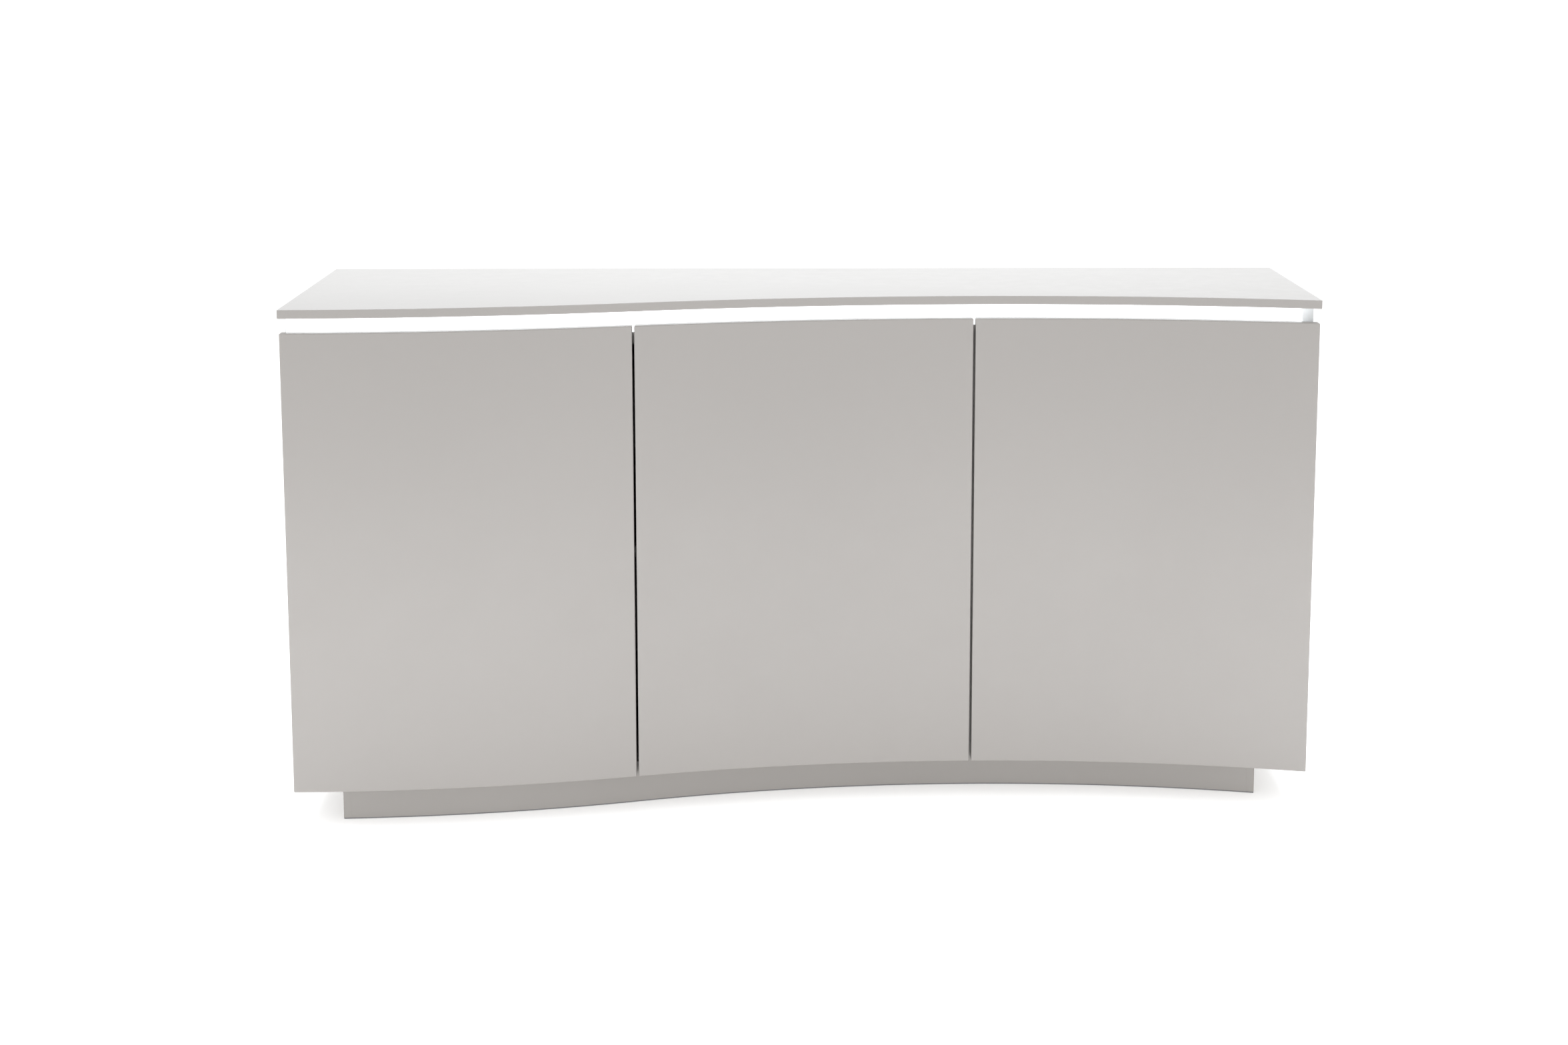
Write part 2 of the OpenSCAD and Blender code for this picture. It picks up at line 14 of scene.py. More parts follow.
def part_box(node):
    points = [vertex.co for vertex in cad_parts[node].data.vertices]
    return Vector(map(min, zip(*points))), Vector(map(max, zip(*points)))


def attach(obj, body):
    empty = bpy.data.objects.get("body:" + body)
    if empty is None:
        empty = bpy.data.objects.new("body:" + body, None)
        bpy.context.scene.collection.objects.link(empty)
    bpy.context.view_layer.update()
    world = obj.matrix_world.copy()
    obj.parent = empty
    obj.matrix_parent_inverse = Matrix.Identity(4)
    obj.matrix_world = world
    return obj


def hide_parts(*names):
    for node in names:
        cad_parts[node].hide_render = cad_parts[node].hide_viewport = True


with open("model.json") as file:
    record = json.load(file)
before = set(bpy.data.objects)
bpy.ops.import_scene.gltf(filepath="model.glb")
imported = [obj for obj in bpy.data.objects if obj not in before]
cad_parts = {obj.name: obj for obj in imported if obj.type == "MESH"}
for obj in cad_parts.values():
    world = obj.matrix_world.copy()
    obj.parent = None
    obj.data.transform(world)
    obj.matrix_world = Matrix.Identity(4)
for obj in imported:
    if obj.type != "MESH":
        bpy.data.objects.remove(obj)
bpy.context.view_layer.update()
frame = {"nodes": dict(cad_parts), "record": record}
nodes = frame["nodes"]
MM = 0.001

# ---- Driving sizes, as in the part's source ----
WAVE_DEPTH = 147 * MM
CREST_TO_VALLEY = 1130 * MM
FRONT_REVEAL = 1 * MM
DOOR_T = 18 * MM
HINGE_FROM_EDGE = 100 * MM
CUP_U = 22 * MM
CUP_HOLE_R = 17.55 * MM
CUP_DEPTH = 12 * MM
FLANGE_T = 1.2 * MM
FLANGE_SCREW_U, FLANGE_SCREW_Z = 24 * MM, 22 * MM
CASE_PIVOT = (36 * MM, 29 * MM)
ARM_HALF_W, ARM_BACK = 5 * MM, 62 * MM
PLATE_Y, PLATE_WING_T, PLATE_SCREW_Z = 40 * MM, 2.5 * MM, 16 * MM
LATCH_FROM_EDGE, LATCH_DROP, LATCH_FOOT_Z = 40 * MM, 9 * MM, 4 * MM
GROMMET_BORE_R = 26 * MM
PLINTH_EXTRA_DROP, PLINTH_SETBACK = 16 * MM, 46 * MM

# ---- Sizes of the pieces added here ----
SLAB_EDGE_R, DOOR_EDGE_R = 1.2 * MM, 1.8 * MM
SLAB_STEP, DOOR_STEP, LIP_STEP = 10 * MM, 8 * MM, 12 * MM
# Screw heads: (radius, height)
FLANGE_HEAD = (3.3 * MM, 1.1 * MM)
PLATE_HEAD = (3.6 * MM, 1.3 * MM)
LATCH_HEAD = (2.8 * MM, 1.0 * MM)
ARM_SCREW_Y = (27 * MM, 52 * MM)
LATCH_SCREW_HALF_PITCH, LATCH_SCREW_Y = 10 * MM, 35 * MM
# Covers on the hinge arms
COVER_START, COVER_HALF_W, COVER_T, COVER_SUNK = 9 * MM, 6 * MM, 0.8 * MM, 0.6 * MM
COVER_CORNER, COVER_NOSE, COVER_EDGE_R = 3 * MM, 2 * MM, 0.3 * MM
# Caps in the cable grommets
CAP_PLAY, CAP_T, CAP_SUNK, CAP_EDGE_R = 0.2 * MM, 2 * MM, 0.8 * MM, 0.5 * MM
NOTCH_HALF_W, NOTCH_TOP = 8 * MM, 9 * MM
# Dark lip under the plinth, a painted contact shadow along its foot
LIP_INSET, LIP_T, LIP_Z, LIP_EDGE_R = 0.3 * MM, 1.1 * MM, (0.1 * MM, 1.95 * MM), 0.15 * MM

# Where the light band dies out: (x where it is at its weakest, x where it is full, the share left)
BAND_ENDS = (
    (-791.2 * MM, -790.8 * MM, 0.02),
    (776 * MM, 773.5 * MM, 0.2),
    (793 * MM, 775 * MM, 0.0),
)

slab_lo, slab_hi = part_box("top_slab")
spans = {n: (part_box("door_" + n)[0].x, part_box("door_" + n)[1].x) for n in ("left", "middle", "right")}
door_z = (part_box("door_left")[0].z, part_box("door_left")[1].z)
HINGE_Z = (door_z[0] + HINGE_FROM_EDGE, door_z[1] - HINGE_FROM_EDGE)

# ---- The wave: two equal arcs that meet on the left seam ----
meet_x = (spans["left"][1] + spans["middle"][0]) / 2
crest_x = meet_x - CREST_TO_VALLEY / 2
valley_x = meet_x + CREST_TO_VALLEY / 2


def wave(depth, crest_y):
    """A wave from its depth and its crest's Y: the arcs' radius and the centres of crest and valley."""
    r = (CREST_TO_VALLEY**2 + depth**2) / (4 * depth)
    return r, Vector((crest_x, crest_y + r)), Vector((valley_x, crest_y + depth - r))


def wave_y(x, d, line):
    """Y of the curve that lies d behind a wave."""
    r, crest, valley = line
    meets = crest + (valley - crest) * (r - d) / (2 * r)
    if x < meets.x:
        return crest.y - math.sqrt((r - d) ** 2 - (x - crest.x) ** 2)
    return valley.y + math.sqrt((r + d) ** 2 - (x - valley.x) ** 2)


def wave_angle(x, d, line):
    """The slope of that curve at x, as an angle about Z."""
    r, crest, valley = line
    meets = crest + (valley - crest) * (r - d) / (2 * r)
    if x < meets.x:
        return math.asin((x - crest.x) / (r - d))
    return math.asin((valley.x - x) / (r + d))


slab_crest_y = slab_lo.y - wave_y(slab_lo.x, 0, wave(WAVE_DEPTH, 0))
slab_line = wave(WAVE_DEPTH, slab_crest_y)
plinth_line = wave(WAVE_DEPTH + PLINTH_EXTRA_DROP, slab_crest_y + PLINTH_SETBACK)


# ---- Node helpers ----
def shader(name):
    """A new material, its node tree and its main shader."""
    m = bpy.data.materials.new(name)
    m.use_nodes = True
    tree = m.node_tree
    bsdf = next(n for n in tree.nodes if n.type == "BSDF_PRINCIPLED")
    return m, tree, bsdf


def node(tree, kind, **values):
    """A new node; each value goes to the input of that name, or else to the node's own setting."""
    n = tree.nodes.new(kind)
    for key, value in values.items():
        if key in n.inputs:
            n.inputs[key].default_value = value
        else:
            setattr(n, key, value)
    return n


def noise(tree, scale, detail=3.0, rough=0.5, stretch=None):
    """A noise in the object's own space, in features per metre."""
    coord = node(tree, "ShaderNodeTexCoord")
    out = coord.outputs["Object"]
    if stretch:
        mapping = node(tree, "ShaderNodeMapping")
        mapping.inputs["Scale"].default_value = stretch
        tree.links.new(out, mapping.inputs["Vector"])
        out = mapping.outputs["Vector"]
    n = node(tree, "ShaderNodeTexNoise", Scale=scale, Detail=detail, Roughness=rough)
    tree.links.new(out, n.inputs["Vector"])
    return n.outputs["Fac"]


def ramp(tree, source, low, high, start=0.3, end=0.7):
    """Maps a factor to a value between low and high."""
    limits = {"From Min": start, "From Max": end, "To Min": low, "To Max": high}
    r = node(tree, "ShaderNodeMapRange", **limits)
    tree.links.new(source, r.inputs["Value"])
    return r.outputs["Result"]


def mix(tree, factor, a, b):
    """Mixes two colours, or a colour over a socket, by a factor socket."""
    m = node(tree, "ShaderNodeMix", data_type="RGBA")
    tree.links.new(factor, m.inputs["Factor"])
    for socket, value in ((m.inputs[6], a), (m.inputs[7], b)):
        if isinstance(value, tuple):
            socket.default_value = (*value, 1.0)
        else:
            tree.links.new(value, socket)
    return m.outputs[2]


def bump(tree, bsdf, layers):
    """Stacks bumps, each (height socket, strength, height in metres)."""
    last = None
    for height, strength, distance in layers:
        b = node(tree, "ShaderNodeBump", Strength=strength, Distance=distance)
        tree.links.new(height, b.inputs["Height"])
        if last:
            tree.links.new(last, b.inputs["Normal"])
        last = b.outputs["Normal"]
    tree.links.new(last, bsdf.inputs["Normal"])


def scaled(colour, k):
    """A colour times a factor, kept below full."""
    return tuple(min(1.0, c * k) for c in colour)


def lacquer(name, colour, rough):
    """Sprayed matt lacquer: faint clouds, orange peel, and lighter rounded edges, partly rubbed wear and
    partly a painted highlight.
    """
    m, t, b = shader(name)
    clouds = ramp(t, noise(t, 2.2, 4), 0, 1)
    base = mix(t, clouds, scaled(colour, 0.985), scaled(colour, 1.015))
    # Lighter rounded edges: partly rubbed wear, partly a painted highlight where the rounding would catch the
    # light.
    wear_and_highlight = node(t, "ShaderNodeAttribute", attribute_name="edge_wear_and_highlight")
    patch = ramp(t, noise(t, 38, 5, 0.6), 0, 0.8, 0.42, 0.62)
    rubbed_and_highlit = node(t, "ShaderNodeMath", operation="MULTIPLY")
    t.links.new(wear_and_highlight.outputs["Fac"], rubbed_and_highlit.inputs[0])
    t.links.new(patch, rubbed_and_highlit.inputs[1])
    t.links.new(mix(t, rubbed_and_highlit.outputs[0], base, scaled(colour, 1.12)), b.inputs["Base Color"])
    t.links.new(ramp(t, noise(t, 14, 5), rough - 0.035, rough + 0.045), b.inputs["Roughness"])
    bump(t, b, [(noise(t, 520, 2), 0.10, 0.00012), (noise(t, 1900, 2), 0.06, 0.00005)])
    return m


def melamine(name, colour):
    """Melamine-faced board: a fine pearl grain over a calm tone."""
    m, t, b = shader(name)
    grain = ramp(t, noise(t, 420, 4, 0.6), 0, 1, 0.35, 0.65)
    tone = mix(t, grain, scaled(colour, 0.965), scaled(colour, 1.02))
    clouds = ramp(t, noise(t, 1.6, 3), 0, 0.35)
    t.links.new(mix(t, clouds, tone, scaled(colour, 0.95)), b.inputs["Base Color"])
    t.links.new(ramp(t, noise(t, 60, 4), 0.42, 0.54), b.inputs["Roughness"])
    bump(t, b, [(noise(t, 1500, 3), 0.12, 0.00006)])
    return m


def plastic(name, colour, rough, grain=1300.0):
    """Moulded plastic with a spark-eroded surface."""
    m, t, b = shader(name)
    tone = ramp(t, noise(t, 30, 4), 0, 1)
    t.links.new(mix(t, tone, scaled(colour, 0.92), scaled(colour, 1.1)), b.inputs["Base Color"])
    t.links.new(ramp(t, noise(t, 120, 3), rough - 0.05, rough + 0.06), b.inputs["Roughness"])
    bump(t, b, [(noise(t, grain, 2), 0.25, 0.00008)])
    return m


def metal(name, colour, rough, stretch):
    """Plated steel with fine lines along the way it was rolled or polished."""
    m, t, b = shader(name)
    b.inputs["Metallic"].default_value = 1.0
    lines = noise(t, 900, 3, 0.6, stretch)
    spots = ramp(t, noise(t, 70, 4), 0, 1)
    t.links.new(mix(t, spots, scaled(colour, 0.93), scaled(colour, 1.04)), b.inputs["Base Color"])
    t.links.new(ramp(t, lines, rough - 0.07, rough + 0.09), b.inputs["Roughness"])
    bump(t, b, [(lines, 0.08, 0.00003)])
    return m


def rubber(name, colour):
    """Clear soft rubber that lets a little light in."""
    m, t, b = shader(name)
    tone = ramp(t, noise(t, 200, 3), 0, 1)
    t.links.new(mix(t, tone, scaled(colour, 0.94), scaled(colour, 1.03)), b.inputs["Base Color"])
    b.inputs["Roughness"].default_value = 0.55
    b.inputs["Subsurface Weight"].default_value = 0.3
    b.inputs["Subsurface Radius"].default_value = (0.002, 0.002, 0.002)
    bump(t, b, [(noise(t, 900, 2), 0.15, 0.00006)])
    return m


def beech(name, colour):
    """Turned beech with its grain along X."""
    m, t, b = shader(name)
    lines = noise(t, 260, 4, 0.6, (0.15, 1, 1))
    t.links.new(mix(t, ramp(t, lines, 0, 1), scaled(colour, 0.82), scaled(colour, 1.08)),
                b.inputs["Base Color"])
    b.inputs["Roughness"].default_value = 0.6
    bump(t, b, [(lines, 0.3, 0.0001)])
    return m


def lit(name, colour, glow, strength, ends=()):
    """Opal acrylic with the light of the strip behind it, weaker towards the given ends."""
    m, t, b = shader(name)
    b.inputs["Base Color"].default_value = (*colour, 1)
    b.inputs["Roughness"].default_value = 0.5
    even = ramp(t, noise(t, 9, 2), 0, 1)
    light = mix(t, even, scaled(glow, 0.96), glow)
    if ends:
        x = node(t, "ShaderNodeSeparateXYZ")
        t.links.new(node(t, "ShaderNodeTexCoord").outputs["Object"], x.inputs[0])
        for weak, full, share in ends:
            light = mix(t, ramp(t, x.outputs["X"], share, 1, weak, full), (0.0, 0.0, 0.0), light)
    t.links.new(light, b.inputs["Emission Color"])
    b.inputs["Emission Strength"].default_value = strength
    return m


LACQUER = (0.318, 0.301, 0.287)
# The plinth's lacquer is the body's, made a touch lighter to make up for the shade under the overhang:
# painted light.
LIGHTENED_PLINTH = (0.322, 0.306, 0.291)
mats = {
    "lacquer": lacquer("lacquer", LACQUER, 0.42),
    "plinth_lacquer": lacquer("plinth_lacquer", LIGHTENED_PLINTH, 0.5),
    "melamine": melamine("melamine", (0.44, 0.425, 0.405)),
    "opal_diffuser": lit("opal_diffuser", (0.72, 0.74, 0.75), (0.93, 0.97, 1.0), 2.0, BAND_ENDS),
    "led_board": lit("led_board", (0.9, 0.9, 0.85), (0.9, 0.95, 1.0), 3.0),
    "black_plastic": plastic("black_plastic", (0.018, 0.018, 0.02), 0.45),
    "zinc": metal("zinc", (0.55, 0.56, 0.58), 0.38, (1, 1, 0.2)),
    "nickel_steel": metal("nickel_steel", (0.66, 0.65, 0.63), 0.27, (0.15, 0.15, 1)),
    "grey_plastic": plastic("grey_plastic", (0.15, 0.15, 0.155), 0.5),
    "soft_rubber": rubber("soft_rubber", (0.62, 0.62, 0.60)),
    "beech": beech("beech", (0.55, 0.37, 0.19)),
}

# ---- CAD nodes: welded, edges eased, each with its material ----
EASE = {
    "lacquer": 0.6 * MM, "plinth_lacquer": 0.2 * MM, "melamine": 0.4 * MM, "opal_diffuser": 0.2 * MM,
    "led_board": 0.1 * MM, "black_plastic": 0.3 * MM, "zinc": 0.3 * MM, "nickel_steel": 0.15 * MM,
    "grey_plastic": 0.4 * MM, "soft_rubber": 0.25 * MM, "beech": 0.3 * MM,
}

# Points closer than this are joined, before and after the edges are eased
WELD_GAP, CLEAN_GAP = 0.005 * MM, 0.002 * MM
EASE_ANGLE, ROUND_ANGLE = math.radians(35), math.radians(30)
EASE_STEPS, ROUND_STEPS = 2, 4


def smooth(obj, weight=100):
    """Smooth shading, with normals that follow the larger faces."""
    for p in obj.data.polygons:
        p.use_smooth = True
    w = obj.modifiers.new("normals", "WEIGHTED_NORMAL")
    w.weight, w.keep_sharp = weight, False


def bevel(obj, name, width, segments, angle):
    """Rounds the edges that are sharper than an angle."""
    b = obj.modifiers.new(name, "BEVEL")
    b.width, b.segments, b.limit_method, b.angle_limit = width, segments, "ANGLE", angle
    b.use_clamp_overlap = True


slots = {p["node"]: p["material_slot"] for p in frame["record"]["subparts"]}
for name, obj in nodes.items():
    obj.data.materials.clear()
    obj.data.materials.append(mats[slots[name]])
    obj.modifiers.new("weld", "WELD").merge_threshold = WELD_GAP
    bevel(obj, "ease", EASE[slots[name]], EASE_STEPS, EASE_ANGLE)
    obj.modifiers.new("clean", "WELD").merge_threshold = CLEAN_GAP
    smooth(obj)


# ---- Mesh helpers ----
def solid(name, build):
    """An object from a function that fills a bmesh, with its normals turned outwards."""
    bm = bmesh.new()
    build(bm)
    bmesh.ops.recalc_face_normals(bm, faces=bm.faces)
    mesh = bpy.data.meshes.new(name)
    bm.to_mesh(mesh)
    bm.free()
    obj = bpy.data.objects.new(name, mesh)
    bpy.context.scene.collection.objects.link(obj)
    return obj


def carve(obj, tool, **settings):
    """Cuts a tool out of an object."""
    cut = obj.modifiers.new("cut", "BOOLEAN")
    cut.object, cut.operation, cut.solver = tool, "DIFFERENCE", "EXACT"
    for key, value in settings.items():
        setattr(cut, key, value)


def applied(obj):
    """The object's mesh with its modifiers applied."""
    return bpy.data.meshes.new_from_object(obj.evaluated_get(bpy.context.evaluated_depsgraph_get()))


def cylinder(name, r, length, segments, place):
    """A cylinder from the origin along +Y of a place."""
    def build(bm):
        bmesh.ops.create_cone(bm, cap_ends=True, segments=segments, radius1=r, radius2=r, depth=length)
        bmesh.ops.transform(bm, verts=bm.verts, matrix=Matrix.Rotation(-math.pi / 2, 4, "X"))
        bmesh.ops.translate(bm, verts=bm.verts, vec=(0, length / 2, 0))
        bmesh.ops.transform(bm, verts=bm.verts, matrix=place)

    return solid(name, build)


def mark_wear_and_highlight(mesh):
    """Puts 1 on the vertices inside a rounded edge and 0 elsewhere, as the mask of lighter edges: rubbed wear
    and a painted highlight.
    """
    flat, full, sharp = math.radians(15), math.radians(22), 1.0
    bm = bmesh.new()
    bm.from_mesh(mesh)
    bm.normal_update()
    wear_and_highlight = []
    for v in bm.verts:
        normals = [f.normal for f in v.link_faces]
        bend = max((a.angle(b, 0) for a in normals for b in normals), default=0)
        wear_and_highlight.append(min(1.0, max(0.0, (bend - flat) / (full - flat))) if bend < sharp else 0.0)
    bm.free()
    attribute = mesh.attributes.new("edge_wear_and_highlight", "FLOAT", "POINT")
    attribute.data.foreach_set("value", wear_and_highlight)


def prism(name, outline, z0, z1, edge_r, tools=()):
    """A panel over an outline in plan, with rounded edges and the tools' holes."""
    def build(bm):
        low = [bm.verts.new((x, y, z0)) for x, y in outline]
        high = [bm.verts.new((x, y, z1)) for x, y in outline]
        bm.faces.new(low[::-1])
        bm.faces.new(high)
        for i in range(len(outline)):
            j = (i + 1) % len(outline)
            bm.faces.new((low[i], low[j], high[j], high[i]))

    obj = solid(name, build)
    bevel(obj, "round", edge_r, ROUND_STEPS, ROUND_ANGLE)
    for tool in tools:
        carve(obj, tool)
    final = applied(obj)
    obj.modifiers.clear()
    obj.data = final
    for tool in tools:
        bpy.data.objects.remove(tool)
    mark_wear_and_highlight(final)
    smooth(obj)
    return obj


def mesh_only(obj):
    """The mesh of an object that isn't a piece itself."""
    mesh = obj.data
    bpy.data.objects.remove(obj)
    return mesh


def arc(x0, x1, d, step, line=slab_line):
    """Points on the curve that lies d behind a wave."""
    n = max(2, round((x1 - x0) / step))
    return [(x0 + (x1 - x0) * i / n, wave_y(x0 + (x1 - x0) * i / n, d, line)) for i in range(n + 1)]


# ---- Lacquered panels that replace the plain CAD ones ----
slab = prism(
    "slab_panel",
    arc(slab_lo.x, slab_hi.x, 0, SLAB_STEP) + [(slab_hi.x, slab_hi.y), (slab_lo.x, slab_hi.y)],
    slab_lo.z, slab_hi.z, SLAB_EDGE_R,
)
slab.data.materials.append(mats["lacquer"])
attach(slab, "case")
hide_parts("top_slab")


def hinge_frame(side):
    """The frame on a door's hinge corner: X along the door, Y into the case."""
    x = spans[side][0] if side == "left" else spans[side][1]
    hand = 1 if side == "left" else -1
    turn = Matrix.Rotation(wave_angle(x, FRONT_REVEAL, slab_line), 4, "Z")
    flip = Matrix.Diagonal((hand, 1, 1, 1))
    return Matrix.Translation((x, wave_y(x, FRONT_REVEAL, slab_line), 0)) @ turn @ flip


back_of_door = FRONT_REVEAL + DOOR_T
through = 5 * MM
for side, (x0, x1) in spans.items():
    cups = [
        cylinder("cup_hole", CUP_HOLE_R, CUP_DEPTH + through, 64,
                 hinge_frame(side) @ Matrix.Translation((CUP_U, DOOR_T - CUP_DEPTH, z)))
        for z in HINGE_Z
    ]
    outline = arc(x0, x1, FRONT_REVEAL, DOOR_STEP) + arc(x0, x1, back_of_door, DOOR_STEP)[::-1]
    panel = prism(f"door_panel_{side}", outline, door_z[0], door_z[1], DOOR_EDGE_R, cups)
    panel.data.materials.append(mats["lacquer"])
    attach(panel, "door_" + side)
    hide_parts("door_" + side)


# ---- Fasteners and covers ----
def cross_head(r, h):
    """The mesh of a pan head with a cross recess that stands on Z = 0."""
    profile = [(r, 0), (r, 0.35 * h), (0.92 * r, 0.62 * h), (0.72 * r, 0.86 * h), (0.42 * r, 0.97 * h)]
    steps = 24
    slot_l, slot_w, slot_mid, slot_h = 1.1 * r, 0.22 * r, 0.8 * h, 0.9 * h

    def turn(bm):
        rings = [
            [bm.verts.new((pr * math.cos(a), pr * math.sin(a), pz))
             for a in (2 * math.pi * i / steps for i in range(steps))]
            for pr, pz in profile
        ]
        for low, high in zip(rings, rings[1:]):
            for i in range(steps):
                j = (i + 1) % steps
                bm.faces.new((low[i], low[j], high[j], high[i]))
        bm.faces.new(rings[-1])
        bm.faces.new(rings[0][::-1])

    def cross(bm):
        for size in ((slot_l, slot_w), (slot_w, slot_l)):
            place = Matrix.Translation((0, 0, slot_mid)) @ Matrix.Diagonal((*size, slot_h, 1))
            bmesh.ops.create_cube(bm, size=1, matrix=place)

    head, tool = solid("head", turn), solid("cross", cross)
    carve(head, tool, use_self=True)
    mesh = applied(head)
    bpy.data.objects.remove(head)
    bpy.data.objects.remove(tool)
    return mesh


def spread(name, mesh, places, slot, body):
    """One piece made of copies of a mesh, each at its own place."""
    def copies(bm):
        for place in places:
            start = len(bm.verts)
            bm.from_mesh(mesh)
            bm.verts.ensure_lookup_table()
            bmesh.ops.transform(bm, verts=bm.verts[start:], matrix=place)

    obj = solid(name, copies)
    obj.data.materials.append(mats[slot])
    smooth(obj, 80)
    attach(obj, body)
    return obj


def facing(at, axis, angle):
    """A place turned about one axis, in degrees."""
    return Matrix.Translation(at) @ Matrix.Rotation(math.radians(angle), 4, axis)


flange_head, plate_head, latch_head = (cross_head(*size) for size in (FLANGE_HEAD, PLATE_HEAD, LATCH_HEAD))

near_half, far_half = COVER_HALF_W - COVER_NOSE, COVER_HALF_W - COVER_CORNER
cover_x0, cover_x1 = COVER_START + COVER_CORNER, ARM_BACK - COVER_CORNER
cover_outline = [
    (cover_x0, -COVER_HALF_W), (cover_x1, -COVER_HALF_W), (ARM_BACK, -far_half), (ARM_BACK, far_half),
    (cover_x1, COVER_HALF_W), (cover_x0, COVER_HALF_W), (COVER_START, near_half), (COVER_START, -near_half),
]
cover_mesh = mesh_only(prism("cover", cover_outline, 0, COVER_T, COVER_EDGE_R))

roof_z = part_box("latch_body_left")[1].z
for side, (x0, x1) in spans.items():
    frame_at = hinge_frame(side)
    spread(f"flange_screws_{side}", flange_head, [
        frame_at @ facing((FLANGE_SCREW_U, DOOR_T + FLANGE_T, z + s * FLANGE_SCREW_Z), "X", -90)
        for z in HINGE_Z for s in (-1, 1)
    ], "nickel_steel", "door_" + side)

    pivot = frame_at @ Vector((*CASE_PIVOT, 0))
    away = 1 if side == "left" else -1
    plate_lo, plate_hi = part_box("hinge_plates_" + side)
    board_x = plate_lo.x if away > 0 else plate_hi.x
    spread(f"plate_screws_{side}", plate_head, [
        facing((board_x + away * PLATE_WING_T, pivot.y + PLATE_Y, z + s * PLATE_SCREW_Z), "Y", 90 * away)
        for z in HINGE_Z for s in (-1, 1)
    ], "nickel_steel", "case")
    # The cover's length runs back along Y, its width along Z and its thickness away from the board.
    cover_x = pivot.x + away * (ARM_HALF_W - COVER_SUNK)
    to_side = Matrix(((0, 0, away, 0), (1, 0, 0, 0), (0, 1, 0, 0), (0, 0, 0, 1)))
    spread(f"arm_covers_{side}", cover_mesh, [
        Matrix.Translation((cover_x, pivot.y, z)) @ to_side for z in HINGE_Z
    ], "nickel_steel", "case")
    spread(f"arm_screws_{side}", plate_head, [
        facing((cover_x + away * COVER_T, pivot.y + y, z), "Y", 90 * away)
        for z in HINGE_Z for y in ARM_SCREW_Y
    ], "zinc", "case")

    latch_x = x1 - LATCH_FROM_EDGE if side == "left" else x0 + LATCH_FROM_EDGE
    latch_at = Matrix.Translation(
        (latch_x, wave_y(latch_x, back_of_door, slab_line), roof_z - LATCH_DROP)
    ) @ Matrix.Rotation(wave_angle(latch_x, back_of_door, slab_line), 4, "Z")
    spread(f"latch_screws_{side}", latch_head, [
        latch_at @ facing((s * LATCH_SCREW_HALF_PITCH, LATCH_SCREW_Y, LATCH_FOOT_Z), "X", 180)
        for s in (-1, 1)
    ], "nickel_steel", "case")


# ---- Caps in the cable grommets, with a notch for the leads ----
def round_points(r, y, start, end, steps):
    """Points on a circle about (0, y), from one angle to another in degrees."""
    angles = (math.radians(start + (end - start) * i / steps) for i in range(steps + 1))
    return [(r * math.cos(a), y + r * math.sin(a)) for a in angles]


cap_r = GROMMET_BORE_R - CAP_PLAY
notch_angle = math.degrees(math.asin(NOTCH_HALF_W / cap_r))
cap_outline = round_points(cap_r, 0, notch_angle - 90, 270 - notch_angle, 60)
cap_outline += round_points(NOTCH_HALF_W, -NOTCH_TOP - NOTCH_HALF_W, 180, 0, 12)
cap_mesh = mesh_only(prism("cap", cap_outline, 0, CAP_T, CAP_EDGE_R))
for side in ("left", "right"):
    lo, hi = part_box("cable_grommet_" + side)
    place = facing(((lo.x + hi.x) / 2, hi.y - CAP_SUNK, (lo.z + hi.z) / 2), "X", 90)
    spread("grommet_cap_" + side, cap_mesh, [place], "black_plastic", "case")

# ---- Dark lip under the front and the ends of the plinth, a painted contact shadow along its foot ----
plinth_lo, plinth_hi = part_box("plinth_left")[0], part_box("plinth_right")[1]


def lip_path(inset):
    """The plinth's outline from its back left corner round the front, moved inwards."""
    x0, x1 = plinth_lo.x + inset, plinth_hi.x - inset
    return [(x0, plinth_hi.y)] + arc(x0, x1, inset, LIP_STEP, plinth_line) + [(x1, plinth_hi.y)]


# The dark grey lip stands in for the contact shadow under the plinth: painted shadow.
shadow_lip = prism("plinth_shadow_lip", lip_path(LIP_INSET) + lip_path(LIP_INSET + LIP_T)[::-1], *LIP_Z, LIP_EDGE_R)
shadow_lip.data.materials.append(mats["grey_plastic"])
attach(shadow_lip, "case")

# ---- Floor ----
floor_mat, t, b = shader("floor")
t.links.new(mix(t, ramp(t, noise(t, 3, 3), 0, 1), (0.90, 0.90, 0.90), (0.92, 0.92, 0.92)),
            b.inputs["Base Color"])
b.inputs["Roughness"].default_value = 0.7
b.inputs["Specular IOR Level"].default_value = 0.2
b.inputs["Emission Color"].default_value = (1, 1, 1, 1)
b.inputs["Emission Strength"].default_value = 0.34
mesh = bpy.data.meshes.new("floor")
half = 300.0
mesh.from_pydata([(-half, -half, 0), (half, -half, 0), (half, half, 0), (-half, half, 0)], [], [(0, 1, 2, 3)])
floor = bpy.data.objects.new("floor", mesh)
floor.data.materials.append(floor_mat)
bpy.context.scene.collection.objects.link(floor)

# ---- Light ----
world = bpy.data.worlds.new("studio")
bpy.context.scene.world = world
world.use_nodes = True
sky = world.node_tree.nodes["Background"]
sky.inputs["Strength"].default_value = 1.3
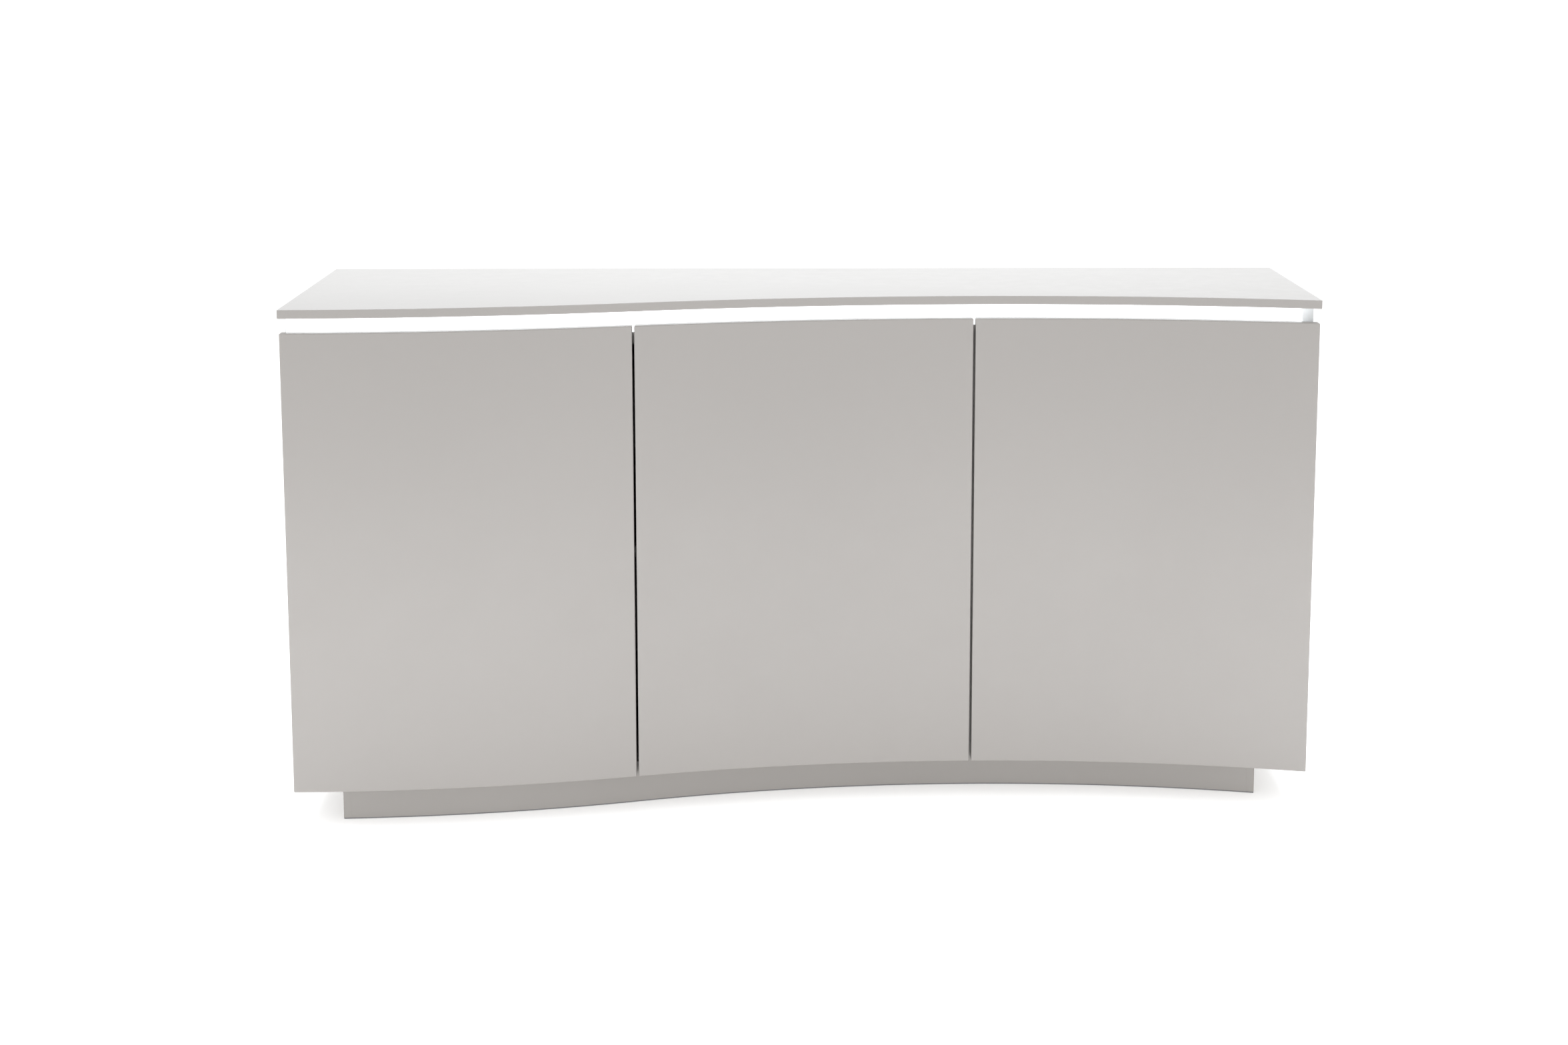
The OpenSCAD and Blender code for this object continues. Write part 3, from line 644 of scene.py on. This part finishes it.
# (sine of the elevation, share of the full strength): a white wall round the floor, dimmer above it
SKY_STOPS = ((0.0, 0.8), (0.12, 0.8), (0.26, 0.54), (0.7, 1.0))
t = world.node_tree
up = node(t, "ShaderNodeSeparateXYZ")
t.links.new(node(t, "ShaderNodeTexCoord").outputs["Generated"], up.inputs[0])
dome = node(t, "ShaderNodeValToRGB")
stops = dome.color_ramp.elements
for i, (height, share) in enumerate(SKY_STOPS):
    stop = stops[i] if i < 2 else stops.new(height)
    stop.position, stop.color = height, (share, share, share, 1)
t.links.new(up.outputs["Z"], dome.inputs["Fac"])
t.links.new(dome.outputs["Color"], sky.inputs["Color"])


def softbox(name, at, aim, size, watts, colour):
    """A rectangular light that the camera doesn't see."""
    data = bpy.data.lights.new(name, "AREA")
    data.shape, data.size, data.size_y, data.energy = "RECTANGLE", size[0], size[1], watts
    data.color = colour
    obj = bpy.data.objects.new(name, data)
    obj.location = at
    obj.rotation_euler = (Vector(aim) - Vector(at)).to_track_quat("-Z", "Y").to_euler()
    obj.visible_camera = False
    bpy.context.scene.collection.objects.link(obj)


softbox("overhead", (0, 0.3, 1.95), (0, 0.3, 0), (3.2, 0.5), 46.5, (0.86, 0.935, 1.0))
softbox("low_front", (0, -0.85, 0.2), (-0.02, 0, 0.18), (3.6, 0.3), 4.0, (1.0, 1.0, 1.0))
bpy.context.scene.view_settings.view_transform = "Standard"

# ---- Camera ----
CAM_AT = Vector((-0.038, -3.875, 1.336))
PITCH, YAW, ROLL = (math.radians(a) for a in (8.771, 0.071, -0.079))
SENSOR_W, LENS, SHIFT_Y = 36, 55.67, -0.118
cam = bpy.data.objects.new("camera", bpy.data.cameras.new("camera"))
forward = Vector((math.sin(YAW) * math.cos(PITCH), math.cos(YAW) * math.cos(PITCH), -math.sin(PITCH)))
cam.matrix_world = (
    Matrix.Translation(CAM_AT)
    @ forward.to_track_quat("-Z", "Y").to_matrix().to_4x4()
    @ Matrix.Rotation(ROLL, 4, "Z")
)
cam.data.sensor_width, cam.data.lens, cam.data.shift_y = SENSOR_W, LENS, SHIFT_Y
bpy.context.scene.collection.objects.link(cam)
bpy.context.scene.camera = cam
